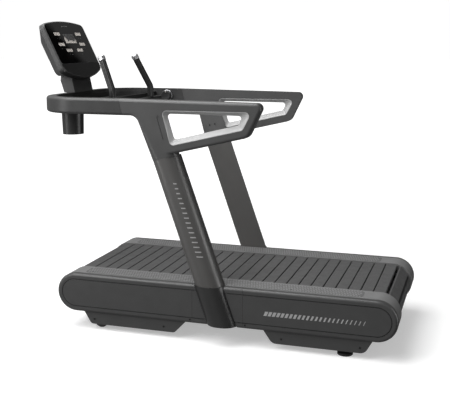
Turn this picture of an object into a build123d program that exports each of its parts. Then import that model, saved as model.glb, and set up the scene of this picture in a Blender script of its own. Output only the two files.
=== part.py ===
"""Slat-belt manual treadmill, built piece by piece.

Frame: millimetres, +Z up, +X from the console towards the rear, +Y towards the runner's right.
The origin is on the floor, midway between the console's front and the rear end of the deck.
Left and right are the runner's own, so left is on the -Y side.
"""
import math
import os

from build123d import *

os.makedirs("parts", exist_ok=True)

# ---------------------------------------------------------------- driving dimensions
DECK_X = 95.0  # middle of the deck, between the two drums
DECK_TOP = 290.0  # foot rail surface above the floor
END_R = 98.5  # outer radius of the deck's round ends
DRUM_SPACING = 1500.0
CASE_SPACING = 1516.0  # between the centres of the casings' round ends
SLAT_PITCH = 60.0
PITCHES_PER_HALF_TURN = 4
SLAT_HALF_LENGTH = 262.0
RAIL_INNER = 264.0  # from the middle to the foot rail's inner edge
COVER_OUTER = 414.0  # from the middle to the side cover's outer face
SKIN = 4.0  # wall of the casings

COLUMN_LEAN = 0.35  # forward run for each unit of height
COLUMN_X = 51.0  # column centre at deck height
COLUMN_WIDTH = 143.0
COLUMN_INNER = 384.0  # from the middle to the columns' flat inner faces
COLUMN_OUTER = 452.0
RAIL_TOP = 1176.0  # top of the hand rails
RAIL_DEPTH = 78.0
HAND_IN = 402.0  # from the middle to the hand rail's inner face
HAND_OUT = 452.0

# ---------------------------------------------------------------- worked out from those
AXLE_Z = DECK_TOP - END_R
FRONT_X = DECK_X - DRUM_SPACING / 2
REAR_X = DECK_X + DRUM_SPACING / 2
DECK_HALF = CASE_SPACING / 2 + END_R
SLAT_IN = PITCHES_PER_HALF_TURN * SLAT_PITCH / math.pi
SLAT_OUT = END_R - SKIN
DRUM_ENDS = ((FRONT_X, 180.0), (REAR_X, 0.0))  # axle, and the direction that its wrap faces


def column_x(height):
    """Centre of the leaning columns at a height above the floor."""
    return COLUMN_X - COLUMN_LEAN * (height - DECK_TOP)


# ================================================================ belt
SLAT_GAP = 4.5
SLAT_WIDTH = SLAT_PITCH - SLAT_GAP
SLAT_THICK = SLAT_OUT - SLAT_IN
SLAT_MID = (SLAT_OUT + SLAT_IN) / 2
RUN_SLATS = int(DRUM_SPACING / SLAT_PITCH) + 1
BELT_INNER_Y = 215.0
BELT_OUTER_Y = 245.0
BELT_THICK = 8.0
BELT_IN = SLAT_IN - BELT_THICK
RUN_HALF = DRUM_SPACING / 2 - 0.3
WRAP_TRIM = 2.0  # degrees left free at each end of a wrapped belt

with BuildPart() as top_slats:
    with BuildSketch(Plane.XZ) as slat_rows:
        with Locations((DECK_X, AXLE_Z + SLAT_MID)):
            with GridLocations(SLAT_PITCH, 1, RUN_SLATS, 1):
                RectangleRounded(SLAT_WIDTH, SLAT_THICK, 3)
    extrude(amount=SLAT_HALF_LENGTH, both=True)

with BuildPart() as bottom_slats:
    with BuildSketch(Plane.XZ) as slat_rows:
        with Locations((DECK_X, AXLE_Z - SLAT_MID)):
            with GridLocations(SLAT_PITCH, 1, RUN_SLATS, 1):
                RectangleRounded(SLAT_WIDTH, SLAT_THICK, 3)
    extrude(amount=SLAT_HALF_LENGTH, both=True)

with BuildPart() as top_carrier_belts:
    with BuildSketch(Plane.XZ.offset(BELT_INNER_Y)) as belt_run:
        with Locations((DECK_X, AXLE_Z + BELT_IN + BELT_THICK / 2)):
            Rectangle(2 * RUN_HALF, BELT_THICK)
    extrude(amount=BELT_OUTER_Y - BELT_INNER_Y)
    mirror(about=Plane.XZ)

with BuildPart() as bottom_carrier_belts:
    with BuildSketch(Plane.XZ.offset(BELT_INNER_Y)) as belt_run:
        with Locations((DECK_X, AXLE_Z - BELT_IN - BELT_THICK / 2)):
            Rectangle(2 * RUN_HALF, BELT_THICK)
    extrude(amount=BELT_OUTER_Y - BELT_INNER_Y)
    mirror(about=Plane.XZ)


def wrap_slats(axle_x, facing):
    """The three slats that go round one drum."""
    with BuildPart() as slats:
        with BuildSketch(Plane.XZ):
            for turn in (-45, 0, 45):
                angle = math.radians(facing + turn)
                centre = (axle_x + SLAT_MID * math.cos(angle), AXLE_Z + SLAT_MID * math.sin(angle))
                with Locations(Location((*centre, 0), (0, 0, facing + turn + 90))):
                    RectangleRounded(SLAT_WIDTH, SLAT_THICK, 3)
        extrude(amount=SLAT_HALF_LENGTH, both=True)
    return slats


def wrap_belts(axle_x, facing):
    """The two half turns of carrier belt round one drum's pulleys."""
    outer = SLAT_IN - 0.4
    start = facing - 90 + WRAP_TRIM
    sweep_angle = 180 - 2 * WRAP_TRIM
    with BuildPart() as belts:
        with BuildSketch(Plane.XZ.offset(BELT_INNER_Y)):
            with BuildLine():
                rim = CenterArc((axle_x, AXLE_Z), outer, start, sweep_angle)
                bore = CenterArc((axle_x, AXLE_Z), BELT_IN, start, sweep_angle)
                Line(rim @ 0, bore @ 0)
                Line(rim @ 1, bore @ 1)
            make_face()
        extrude(amount=BELT_OUTER_Y - BELT_INNER_Y)
        mirror(about=Plane.XZ)
    return belts


front_wrap_slats = wrap_slats(*DRUM_ENDS[0])
rear_wrap_slats = wrap_slats(*DRUM_ENDS[1])
front_wrap_belts = wrap_belts(*DRUM_ENDS[0])
rear_wrap_belts = wrap_belts(*DRUM_ENDS[1])

# ---------------------------------------------------------------- drums
AXLE_R = 12.5
DRUM_CORE_R = 17.5
PULLEY_R = BELT_IN - 0.4
PULLEY_INNER_Y = 212.0
PULLEY_OUTER_Y = 248.0
AXLE_HALF = 300.0
RUNNING_GAP = 0.05


def drum(axle_x):
    """A stepped shaft that turns in the frame's bearings, and the two pulleys keyed on it."""
    with BuildPart() as shaft:
        with BuildSketch(Plane.XZ):
            with Locations((axle_x, AXLE_Z)):
                Circle(DRUM_CORE_R)
        extrude(amount=PULLEY_INNER_Y - 12, both=True)
        with BuildSketch(Plane.XZ):
            with Locations((axle_x, AXLE_Z)):
                Circle(AXLE_R)
        extrude(amount=AXLE_HALF, both=True)
        chamfer(shaft.edges().group_by(Axis.Y)[0] + shaft.edges().group_by(Axis.Y)[-1], 1.5)
    with BuildPart() as pulleys:
        with BuildSketch(Plane.XZ.offset(PULLEY_INNER_Y)):
            with Locations((axle_x, AXLE_Z)):
                Circle(PULLEY_R)
                Circle(AXLE_R + RUNNING_GAP, mode=Mode.SUBTRACT)
                with PolarLocations(40, 6):
                    Circle(13, mode=Mode.SUBTRACT)
        extrude(amount=PULLEY_OUTER_Y - PULLEY_INNER_Y)
        with BuildSketch(Plane.XZ.offset(PULLEY_INNER_Y - 11.5)):
            with Locations((axle_x, AXLE_Z)):
                Circle(24)
                Circle(AXLE_R + RUNNING_GAP, mode=Mode.SUBTRACT)
        extrude(amount=11.5)
        mirror(about=Plane.XZ)
        add(shaft.part)
    return pulleys


front_drum = drum(FRONT_X)
rear_drum = drum(REAR_X)

# ---------------------------------------------------------------- magnetic brake
DISC_Y = 63.0
DISC_R = 62.0
DISC_THICK = 6.0
YOKE_TIP = FRONT_X + 66.0  # clear of the disc when the brake is off
YOKE_BLOCK = FRONT_X + 95.0
YOKE_END = FRONT_X + 145.0
YOKE_HALF_Y = 17.0
YOKE_ARM = 10.0
GUIDE_R = 5.0
GUIDE_LIFT = 10.0
CROSS_SIZE = 50.0
CROSS_X = [DECK_X + step * 333.0 for step in (-1.5, -0.5, 0.5, 1.5)]
CROSS_FACE = CROSS_X[0] - CROSS_SIZE / 2

with BuildPart() as brake_disc:
    with BuildSketch(Plane.XZ.offset(-DISC_Y - DISC_THICK / 2)):
        with Locations((FRONT_X, AXLE_Z)):
            Circle(DISC_R)
            Circle(DRUM_CORE_R, mode=Mode.SUBTRACT)
    extrude(amount=DISC_THICK)
    with BuildSketch(Plane.XZ.offset(-DISC_Y - 11)):
        with Locations((FRONT_X, AXLE_Z)):
            Circle(28)
            Circle(DRUM_CORE_R, mode=Mode.SUBTRACT)
    extrude(amount=22)

with BuildPart() as brake_yoke:
    with BuildSketch(Plane.XY.offset(AXLE_Z)):
        with Locations(((YOKE_BLOCK + YOKE_END) / 2, DISC_Y)):
            Rectangle(YOKE_END - YOKE_BLOCK, 2 * YOKE_HALF_Y)
        arm_y = YOKE_HALF_Y - YOKE_ARM / 2
        with Locations(((YOKE_TIP + YOKE_BLOCK) / 2, DISC_Y)):
            with GridLocations(1, 2 * arm_y, 1, 2):
                Rectangle(YOKE_BLOCK - YOKE_TIP + 2, YOKE_ARM)
    extrude(amount=18, both=True)
    with BuildSketch(Plane.YZ.offset(YOKE_BLOCK)):
        with Locations((DISC_Y, AXLE_Z)):
            with GridLocations(1, 2 * GUIDE_LIFT, 1, 2):
                Circle(GUIDE_R + RUNNING_GAP)
    extrude(amount=YOKE_END - YOKE_BLOCK, mode=Mode.SUBTRACT)

with BuildPart() as brake_guide:
    with BuildSketch(Plane.YZ.offset(CROSS_FACE)):
        with Locations((DISC_Y, AXLE_Z)):
            RectangleRounded(40, 44, 5)
    extrude(amount=-6)
    with BuildSketch(Plane.YZ.offset(CROSS_FACE - 6)):
        with Locations((DISC_Y, AXLE_Z)):
            with GridLocations(1, 2 * GUIDE_LIFT, 1, 2):
                Circle(GUIDE_R)
    extrude(amount=-(CROSS_FACE - 6 - YOKE_BLOCK - 4))

# ================================================================ frame inside the deck
BEAM_IN = 290.0
BEAM_OUT = 330.0
BEAM_HEIGHT = 100.0
BEAM_WALL = 4.0
BEAM_FRONT = FRONT_X + 95.0
BEAM_REAR = REAR_X - 95.0
BEARING_R = 26.0
PLATE_THICK = 12.0

BRACKET_X = column_x(AXLE_Z)
BRACKET_SIZE = (110.0, 90.0)

with BuildPart() as side_frames:
    with BuildSketch(Plane.YZ.offset(BEAM_FRONT)):
        with Locations((-(BEAM_IN + BEAM_OUT) / 2, AXLE_Z)):
            RectangleRounded(BEAM_OUT - BEAM_IN, BEAM_HEIGHT, 6)
            RectangleRounded(BEAM_OUT - BEAM_IN - 2 * BEAM_WALL, BEAM_HEIGHT - 2 * BEAM_WALL, 3,
                             mode=Mode.SUBTRACT)
    extrude(amount=BEAM_REAR - BEAM_FRONT)
    with BuildSketch(Plane.XZ.offset(BEAM_OUT)):
        with Locations((BRACKET_X, AXLE_Z)):
            RectangleRounded(*BRACKET_SIZE, 6)
            RectangleRounded(BRACKET_SIZE[0] - 12, BRACKET_SIZE[1] - 12, 3, mode=Mode.SUBTRACT)
    extrude(amount=COLUMN_INNER - BEAM_OUT)
    with BuildSketch(Plane.XZ.offset(BEAM_IN - PLATE_THICK)):
        for axle_x, facing in DRUM_ENDS:
            inward = -math.cos(math.radians(facing))
            with Locations((axle_x + inward * 75, AXLE_Z)):
                SlotCenterToCenter(150, BEAM_HEIGHT)
            with Locations((axle_x, AXLE_Z)):
                Circle(BEARING_R, mode=Mode.SUBTRACT)
    extrude(amount=PLATE_THICK)
    mirror(about=Plane.XZ)

with BuildPart() as cross_members:
    with BuildSketch(Plane.XZ):
        for cross_x in CROSS_X:
            with Locations((cross_x, AXLE_Z)):
                RectangleRounded(CROSS_SIZE, CROSS_SIZE, 5)
                RectangleRounded(CROSS_SIZE - 6, CROSS_SIZE - 6, 3, mode=Mode.SUBTRACT)
    extrude(amount=BEAM_IN, both=True)

with BuildPart() as drum_bearings:
    with BuildSketch(Plane.XZ.offset(BEAM_IN - PLATE_THICK)):
        for axle_x, facing in DRUM_ENDS:
            with Locations((axle_x, AXLE_Z)):
                Circle(BEARING_R)
    extrude(amount=PLATE_THICK)
    with BuildSketch(Plane.XZ.offset(BEAM_IN)):
        for axle_x, facing in DRUM_ENDS:
            with Locations((axle_x, AXLE_Z)):
                Circle(36)
    extrude(amount=4)
    with BuildSketch(Plane.XZ.offset(BEAM_IN - PLATE_THICK)):
        for axle_x, facing in DRUM_ENDS:
            with Locations((axle_x, AXLE_Z)):
                Circle(AXLE_R + RUNNING_GAP)
    extrude(amount=PLATE_THICK + 4, mode=Mode.SUBTRACT)
    mirror(about=Plane.XZ)

GLIDE_TOP = AXLE_Z + SLAT_IN - 0.4
GLIDE_BASE = AXLE_Z + CROSS_SIZE / 2

with BuildPart() as glide_rails:
    with BuildSketch(Plane.XZ.offset(185)):
        with Locations((DECK_X, (GLIDE_TOP + GLIDE_BASE) / 2)):
            Rectangle(DRUM_SPACING - 130, GLIDE_TOP - GLIDE_BASE)
        with Locations((DECK_X, (GLIDE_TOP + GLIDE_BASE) / 2)):
            with GridLocations(150, 1, 8, 1):
                SlotOverall(90, 20, mode=Mode.SUBTRACT)
    extrude(amount=12)
    mirror(about=Plane.XZ)

# ================================================================ casing of the deck
DISH_DEPTH = 29.5
EDGE_ROUND = 14.0
SEAM_GAP = 0.8
FRONT_SEAM = -33.0
REAR_SEAM = 222.0
PANEL_INSET = 31.0
GROOVE = 5.0
GROOVE_DEPTH = 2.4
COVER_SCREWS = ((FRONT_SEAM - 12, 112.0), (REAR_SEAM + 12, 112.0))

with BuildPart() as left_dish:
    with BuildSketch(Plane.XZ.offset(COVER_OUTER - DISH_DEPTH)):
        with Locations((DECK_X, AXLE_Z)):
            SlotCenterToCenter(CASE_SPACING, 2 * END_R)
    extrude(amount=DISH_DEPTH)
    fillet(left_dish.faces().sort_by(Axis.Y)[0].edges(), EDGE_ROUND)
    with BuildSketch(Plane.XZ.offset(COVER_OUTER - DISH_DEPTH)):
        with Locations((DECK_X, AXLE_Z)):
            SlotCenterToCenter(CASE_SPACING, 2 * (END_R - SKIN))
    extrude(amount=DISH_DEPTH - EDGE_ROUND, mode=Mode.SUBTRACT)
    with BuildSketch(Plane.XZ.offset(COVER_OUTER - EDGE_ROUND)):
        with Locations((DECK_X, AXLE_Z)):
            SlotCenterToCenter(CASE_SPACING, 2 * (END_R - EDGE_ROUND))
    extrude(amount=EDGE_ROUND - SKIN, mode=Mode.SUBTRACT)
    with BuildSketch(Plane.XZ.offset(COVER_OUTER - GROOVE_DEPTH)):
        with Locations((DECK_X, AXLE_Z)):
            SlotCenterToCenter(CASE_SPACING, 2 * (END_R - PANEL_INSET + GROOVE))
            SlotCenterToCenter(CASE_SPACING, 2 * (END_R - PANEL_INSET), mode=Mode.SUBTRACT)
    extrude(amount=GROOVE_DEPTH, mode=Mode.SUBTRACT)
    with BuildSketch(Plane.XZ.offset(COVER_OUTER - SKIN)):
        with Locations(*COVER_SCREWS):
            Circle(2.6)
    extrude(amount=SKIN, mode=Mode.SUBTRACT)


def dish_section(start_x, end_x):
    """One length of the left side cover, between two upright seams."""
    with BuildPart() as section:
        add(left_dish.part)
        with Locations(((start_x + end_x) / 2, -COVER_OUTER, AXLE_Z)):
            Box(end_x - start_x, 4 * DISH_DEPTH, 4 * END_R, mode=Mode.INTERSECT)
    return section


def mirrored(piece):
    """The right-hand twin of a left-hand piece."""
    with BuildPart() as twin:
        mirror(piece.part, about=Plane.XZ)
    return twin


left_cover_front = dish_section(DECK_X - DECK_HALF - 1, FRONT_SEAM - SEAM_GAP / 2)
whole_cover_middle = dish_section(FRONT_SEAM + SEAM_GAP / 2, REAR_SEAM - SEAM_GAP / 2)
left_cover_rear = dish_section(REAR_SEAM + SEAM_GAP / 2, DECK_X + DECK_HALF + 1)
right_cover_front = mirrored(left_cover_front)
right_cover_rear = mirrored(left_cover_rear)

EDGE_GAP = 2.0
RAIL_OUTER = COVER_OUTER - DISH_DEPTH - EDGE_GAP
WEB_THICK = 3.0
WEB_R = 60.0
STRIP_FRONT = -625.0
STRIP_REAR = 782.0
STRIP_IN = 276.0
STRIP_OUT = 374.0
STRIP_THICK = 1.6
RAIL_SCREWS = (-585.0, -256.0, 116.0, 443.0, 765.0)
RAIL_SCREW_Y = 354.0
STRIP_CENTRE = ((STRIP_FRONT + STRIP_REAR) / 2, -(STRIP_IN + STRIP_OUT) / 2)

with BuildPart() as left_foot_rail:
    with BuildSketch(Plane.XZ.offset(RAIL_INNER)):
        with Locations((DECK_X, AXLE_Z)):
            SlotCenterToCenter(CASE_SPACING, 2 * END_R)
            SlotCenterToCenter(CASE_SPACING, 2 * (END_R - SKIN), mode=Mode.SUBTRACT)
    extrude(amount=RAIL_OUTER - RAIL_INNER)
    with BuildSketch(Plane.XZ.offset(RAIL_INNER)):
        with Locations((DECK_X, AXLE_Z - END_R)):
            Rectangle(CASE_SPACING, 2 * END_R - 20)
    extrude(amount=RAIL_OUTER - RAIL_INNER, mode=Mode.SUBTRACT)
    with BuildSketch(Plane.XZ.offset(RAIL_INNER)):
        with Locations((DECK_X, AXLE_Z)):
            SlotCenterToCenter(CASE_SPACING, 2 * END_R)
            SlotCenterToCenter(CASE_SPACING, 2 * WEB_R, mode=Mode.SUBTRACT)
    extrude(amount=WEB_THICK)
    with BuildSketch(Plane.XY.offset(DECK_TOP)):
        with Locations(STRIP_CENTRE):
            RectangleRounded(STRIP_REAR - STRIP_FRONT, STRIP_OUT - STRIP_IN, 24)
    extrude(amount=-STRIP_THICK, mode=Mode.SUBTRACT)
    with BuildSketch(Plane.XY.offset(DECK_TOP)):
        for screw_x in RAIL_SCREWS:
            with Locations((screw_x, -RAIL_SCREW_Y)):
                Circle(3)
    extrude(amount=-2 * SKIN, mode=Mode.SUBTRACT)

right_foot_rail = mirrored(left_foot_rail)

with BuildPart() as grip_strips:
    with BuildSketch(Plane.XY.offset(DECK_TOP - STRIP_THICK)):
        with Locations(STRIP_CENTRE):
            RectangleRounded(STRIP_REAR - STRIP_FRONT - 1, STRIP_OUT - STRIP_IN - 1, 23.5)
        for screw_x in RAIL_SCREWS:
            with Locations((screw_x, -RAIL_SCREW_Y)):
                Circle(6.3, mode=Mode.SUBTRACT)
    extrude(amount=STRIP_THICK + 0.6)
    mirror(about=Plane.XZ)

with BuildPart() as rail_screws:
    with BuildSketch(Plane.XY.offset(DECK_TOP - STRIP_THICK)):
        for screw_x in RAIL_SCREWS:
            with Locations((screw_x, -RAIL_SCREW_Y)):
                Circle(6)
                RegularPolygon(2, 6, mode=Mode.SUBTRACT)
    extrude(amount=2.6)
    with BuildSketch(Plane.XY.offset(DECK_TOP - STRIP_THICK)):
        for screw_x in RAIL_SCREWS:
            with Locations((screw_x, -RAIL_SCREW_Y)):
                Circle(2.9)
    extrude(amount=-14)
    mirror(about=Plane.XZ)

with BuildPart() as belly_pans:
    with BuildSketch(Plane.XY.offset(AXLE_Z - END_R)):
        with Locations((DECK_X, -(RAIL_INNER + WEB_THICK + RAIL_OUTER) / 2 - 0.25)):
            Rectangle(DRUM_SPACING - 2, RAIL_OUTER - RAIL_INNER - WEB_THICK - 1)
    extrude(amount=SKIN)
    mirror(about=Plane.XZ)

# ---------------------------------------------------------------- skirts below the side covers
UNDERSIDE = AXLE_Z - END_R
SKIRT_OUT = 399.0
SKIRT_FLANGE = 26.0
SKIRT_LOW = 30.0
SKIRT_SCREW_Z = 56.0
FRONT_SKIRT_SCREWS = (-564.0, -188.0)
REAR_SKIRT_SCREWS = (409.0, 781.0)
HEAD_SCREWS = ((-210.0, 976.0), (-180.0, 983.0))  # inner faces of the handle heads
HEAD_SCREW_Y = 392.5


def skirt_pair(top_front, low_front, low_rear, top_rear, corner, screws):
    """A folded plate below each side cover, with its foot turned inwards."""
    outline = ((top_front, UNDERSIDE), (low_front, SKIRT_LOW), (low_rear, SKIRT_LOW), (top_rear, UNDERSIDE))
    with BuildPart() as skirts:
        with BuildSketch(Plane.XZ.offset(SKIRT_OUT - SKIRT_FLANGE)) as plate:
            with BuildLine():
                Polyline(*outline, close=True)
            make_face()
            fillet(plate.vertices().group_by(Axis.Y)[0], corner)
        extrude(amount=SKIRT_FLANGE)
        with BuildSketch(Plane.XZ.offset(SKIRT_OUT - SKIRT_FLANGE)) as hollow:
            with BuildLine():
                Polyline((top_front + 5, UNDERSIDE + 1), (low_front + 5, SKIRT_LOW + SKIN),
                         (low_rear - 5, SKIRT_LOW + SKIN), (top_rear - 5, UNDERSIDE + 1), close=True)
            make_face()
            fillet(hollow.vertices().group_by(Axis.Y)[0], corner - SKIN)
        extrude(amount=SKIRT_FLANGE - SKIN, mode=Mode.SUBTRACT)
        with BuildSketch(Plane.XZ.offset(SKIRT_OUT - SKIN)):
            for screw_x in screws:
                with Locations((screw_x, SKIRT_SCREW_Z)):
                    Circle(2.6)
        extrude(amount=SKIN, mode=Mode.SUBTRACT)
        mirror(about=Plane.XZ)
    return skirts


front_skirts = skirt_pair(-620, -583, -132, -72, 24, FRONT_SKIRT_SCREWS)
rear_skirts = skirt_pair(320, 364, 803, 838, 38, REAR_SKIRT_SCREWS)

with BuildPart() as panel_screws:
    for screw_x in FRONT_SKIRT_SCREWS + REAR_SKIRT_SCREWS:
        with BuildSketch(Plane.XZ.offset(SKIRT_OUT - SKIN - 3)):
            with Locations((screw_x, SKIRT_SCREW_Z)):
                Circle(2.5)
        extrude(amount=SKIN + 3)
        with BuildSketch(Plane.XZ.offset(SKIRT_OUT)):
            with Locations((screw_x, SKIRT_SCREW_Z)):
                Circle(5)
                RegularPolygon(1.8, 6, mode=Mode.SUBTRACT)
        extrude(amount=2)
    for screw_x, screw_z in COVER_SCREWS:
        with BuildSketch(Plane.XZ.offset(COVER_OUTER - SKIN - 3)):
            with Locations((screw_x, screw_z)):
                Circle(2.5)
        extrude(amount=SKIN + 3)
        with BuildSketch(Plane.XZ.offset(COVER_OUTER)):
            with Locations((screw_x, screw_z)):
                Circle(4)
                RegularPolygon(1.6, 6, mode=Mode.SUBTRACT)
        extrude(amount=1.5)
    with BuildSketch(Plane.XZ.offset(HEAD_SCREW_Y)):
        with Locations(*HEAD_SCREWS):
            Circle(4.1)
            RegularPolygon(1.6, 6, mode=Mode.SUBTRACT)
    extrude(amount=3.4)
    mirror(about=Plane.XZ)

# ---------------------------------------------------------------- transport wheels and feet
WHEEL_X = -548.0
WHEEL_Y = 345.0
WHEEL_R = 37.0
WHEEL_HALF = 14.0
WHEEL_AXLE_R = 6.0
FORK_GAP = 1.5
FORK_CHEEK = 5.0
FOOT_X = 706.0
FOOT_Y = 350.0
FOOT_R = 37.0
STEM_R = 6.0

with BuildPart() as left_wheel:
    with BuildSketch(Plane.XZ.offset(WHEEL_Y - WHEEL_HALF)):
        with Locations((WHEEL_X, WHEEL_R)):
            Circle(WHEEL_R)
    extrude(amount=2 * WHEEL_HALF)
    chamfer(left_wheel.edges().filter_by(GeomType.CIRCLE), 2.5)
    with BuildSketch(Plane.XZ.offset(WHEEL_Y - WHEEL_HALF)):
        with Locations((WHEEL_X, WHEEL_R)):
            Circle(WHEEL_AXLE_R + RUNNING_GAP)
    extrude(amount=2 * WHEEL_HALF, mode=Mode.SUBTRACT)

right_wheel = mirrored(left_wheel)

with BuildPart() as wheel_axles:
    with BuildSketch(Plane.XZ.offset(WHEEL_Y - WHEEL_HALF - FORK_GAP - FORK_CHEEK - 3)):
        with Locations((WHEEL_X, WHEEL_R)):
            Circle(WHEEL_AXLE_R)
    extrude(amount=2 * (WHEEL_HALF + FORK_GAP + FORK_CHEEK + 3))
    mirror(about=Plane.XZ)

with BuildPart() as wheel_forks:
    fork_half = WHEEL_HALF + FORK_GAP + FORK_CHEEK
    with BuildSketch(Plane.XZ.offset(WHEEL_Y - fork_half)) as fork_side:
        with BuildLine():
            Polyline((WHEEL_X - 34, UNDERSIDE), (WHEEL_X - 13, 24), (WHEEL_X + 13, 24),
                     (WHEEL_X + 34, UNDERSIDE), close=True)
        make_face()
        fillet(fork_side.vertices().group_by(Axis.Y)[0], 10)
        with Locations((WHEEL_X, WHEEL_R)):
            Circle(WHEEL_AXLE_R, mode=Mode.SUBTRACT)
    extrude(amount=2 * fork_half)
    with Locations((WHEEL_X, -WHEEL_Y, (UNDERSIDE - 10) / 2)):
        Box(120, 2 * (WHEEL_HALF + FORK_GAP), UNDERSIDE - 10, mode=Mode.SUBTRACT)
    mirror(about=Plane.XZ)

with BuildPart() as left_foot:
    with BuildSketch(Plane.XZ):
        with BuildLine():
            Polyline((0, 0), (FOOT_R - 2, 0), (FOOT_R, 2), (FOOT_R, 11), (14, 20), (14, 30),
                     (STEM_R, 30), (STEM_R, 88), (0, 88), close=True)
        make_face()
    revolve(axis=Axis.Z)

with BuildPart() as placed_foot:
    with Locations((FOOT_X, -FOOT_Y, 0)):
        add(left_foot.part)

left_foot = placed_foot
right_foot = mirrored(left_foot)

with BuildPart() as foot_blocks:
    with BuildSketch(Plane.XY.offset(UNDERSIDE)):
        with Locations((FOOT_X, -FOOT_Y)):
            RectangleRounded(56, 50, 6)
    extrude(amount=-45)
    with BuildSketch(Plane.XY.offset(UNDERSIDE - 45)):
        with Locations((FOOT_X, -FOOT_Y)):
            Circle(STEM_R + RUNNING_GAP)
    extrude(amount=43, mode=Mode.SUBTRACT)
    mirror(about=Plane.XZ)

# ================================================================ uprights
COLUMN_LOW = 112.0
SECTION_ROUND = 62.0
COLUMN_WALL = 4.0
BOOT_LOW = 100.0
BOOT_WALL = 5.0
JOINT_CENTRE = (-158.0, 901.5)
JOINT_SLOPE = 0.27
LEAN = Vector(-COLUMN_LEAN, 0, 1)
JOINT_PLANE = Plane(origin=(JOINT_CENTRE[0], 0, JOINT_CENTRE[1]), x_dir=(1, 0, JOINT_SLOPE),
                    z_dir=(-JOINT_SLOPE, 0, 1))


def column_section(height, front, rear, inner, outer, corner):
    """Level section of a column: flat towards the deck, its two outer corners rounded."""
    short = corner * (1 - math.sqrt(0.5))
    with BuildSketch(Plane.XY.offset(height)) as section:
        with BuildLine():
            Line((front, -inner), (front, corner - outer))
            ThreePointArc((front, corner - outer), (front + short, short - outer), (front + corner, -outer))
            Line((front + corner, -outer), (rear - corner, -outer))
            ThreePointArc((rear - corner, -outer), (rear - short, short - outer), (rear, corner - outer))
            Line((rear, corner - outer), (rear, -inner))
            Line((rear, -inner), (front, -inner))
        make_face()
    return section


def d_section(height, grow=0.0):
    """The column's own section at a height, grown all round but for its flat face."""
    half = COLUMN_WIDTH / 2 + grow
    inner = COLUMN_INNER + 0.3 + (COLUMN_WALL if grow < 0 else 0)
    return column_section(height, column_x(height) - half, column_x(height) + half, inner,
                          COLUMN_OUTER + grow, SECTION_ROUND + grow)


def leaning_length(low, high):
    """Length of a leaning extrusion between two heights."""
    return (high - low) * LEAN.length


column_outside = d_section(COLUMN_LOW)
column_inside = d_section(COLUMN_LOW, grow=-COLUMN_WALL)
FLANGE = 5.0
with BuildSketch(Plane.XY.offset(COLUMN_LOW)) as flange_section:
    with Locations((column_x(COLUMN_LOW) + (COLUMN_WIDTH + FLANGE) / 2, -COLUMN_INNER - 2.8)):
        Rectangle(FLANGE + 1, 5)
boot_outside = d_section(BOOT_LOW, grow=BOOT_WALL + 0.5)
boot_inside = d_section(BOOT_LOW + 12, grow=0.4)

with BuildSketch(Plane.XY.offset(BOOT_LOW + 12)) as flange_room:
    with Locations((column_x(BOOT_LOW + 12) + (COLUMN_WIDTH + FLANGE) / 2, -COLUMN_INNER - 2.8)):
        Rectangle(FLANGE + 2, 6.2)

with BuildPart() as left_upright:
    add(column_outside.sketch)
    extrude(amount=leaning_length(COLUMN_LOW, 940), dir=LEAN)
    add(column_inside.sketch)
    extrude(amount=leaning_length(COLUMN_LOW, 940), dir=LEAN, mode=Mode.SUBTRACT)
    add(flange_section.sketch)
    extrude(amount=leaning_length(COLUMN_LOW, 940), dir=LEAN)
    split(bisect_by=JOINT_PLANE, keep=Keep.BOTTOM)

right_upright = mirrored(left_upright)

with BuildPart() as boots:
    add(boot_outside.sketch)
    extrude(amount=leaning_length(BOOT_LOW, DECK_TOP + 2), dir=LEAN)
    fillet(boots.faces().sort_by(Axis.Z)[0].edges().filter_by(lambda edge: edge.length > 150)
           .sort_by(Axis.Y)[0], 11)
    add(boot_inside.sketch)
    extrude(amount=leaning_length(BOOT_LOW + 12, DECK_TOP + 3), dir=LEAN, mode=Mode.SUBTRACT)
    add(flange_room.sketch)
    extrude(amount=leaning_length(BOOT_LOW + 12, DECK_TOP + 3), dir=LEAN, mode=Mode.SUBTRACT)
    mirror(about=Plane.XZ)

boot_notch_section = d_section(UNDERSIDE - 2, grow=BOOT_WALL + 1.3)
with BuildPart() as boot_notch:
    add(boot_notch_section.sketch)
    extrude(amount=leaning_length(UNDERSIDE - 2, DECK_TOP + 2), dir=LEAN)

with BuildPart() as left_cover_middle:
    add(whole_cover_middle.part)
    add(boot_notch.part, mode=Mode.SUBTRACT)

right_cover_middle = mirrored(left_cover_middle)

# ---------------------------------------------------------------- handle heads on the uprights
RAIL_SEAM_TOP = (-378.0, RAIL_TOP)
RAIL_SEAM_LOW = (-360.0, RAIL_TOP - RAIL_DEPTH)
HEAD_REAR_TOP = (329.0, RAIL_TOP - 8)
HEAD_REAR_LOW = (254.0, 1012.0)
HEAD_NECK_REAR = (-145.0, 917.1)
HEAD_ARMPIT = (-294.0, RAIL_TOP - RAIL_DEPTH)
NECK_DROP = 31.0  # from the armpit down to where the head takes over from the neck
NECK_TOP = HEAD_ARMPIT[1] - NECK_DROP
NECK_TOP_FRONT = HEAD_ARMPIT[0] + NECK_DROP * COLUMN_LEAN
NECK_TOP_REAR = -150.0
HEAD_ROUND = 14.0
LINER_OUTLINE = ((-165.0, 1127.0), (273.0, 1129.0), (229.0, 1045.0), (-121.0, 961.0))
OPENING_OUTLINE = ((-144.0, 1110.0), (223.0, 1109.0), (205.0, 1067.0), (-108.0, 990.0))
HAND_MID = (HAND_IN + HAND_OUT) / 2
OUTWARD = Vector(0, -1, 0)


def window(distance, outline, corner, grow=0.0):
    """Rounded four-sided window of the handle, on a plane this far from the middle."""
    with BuildSketch(Plane.XZ.offset(distance)) as face:
        with BuildLine():
            Polyline(*outline, close=True)
        make_face()
        if grow:
            offset(amount=grow, kind=Kind.INTERSECTION, mode=Mode.REPLACE)
        fillet(face.vertices(), corner)
    return face


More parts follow.
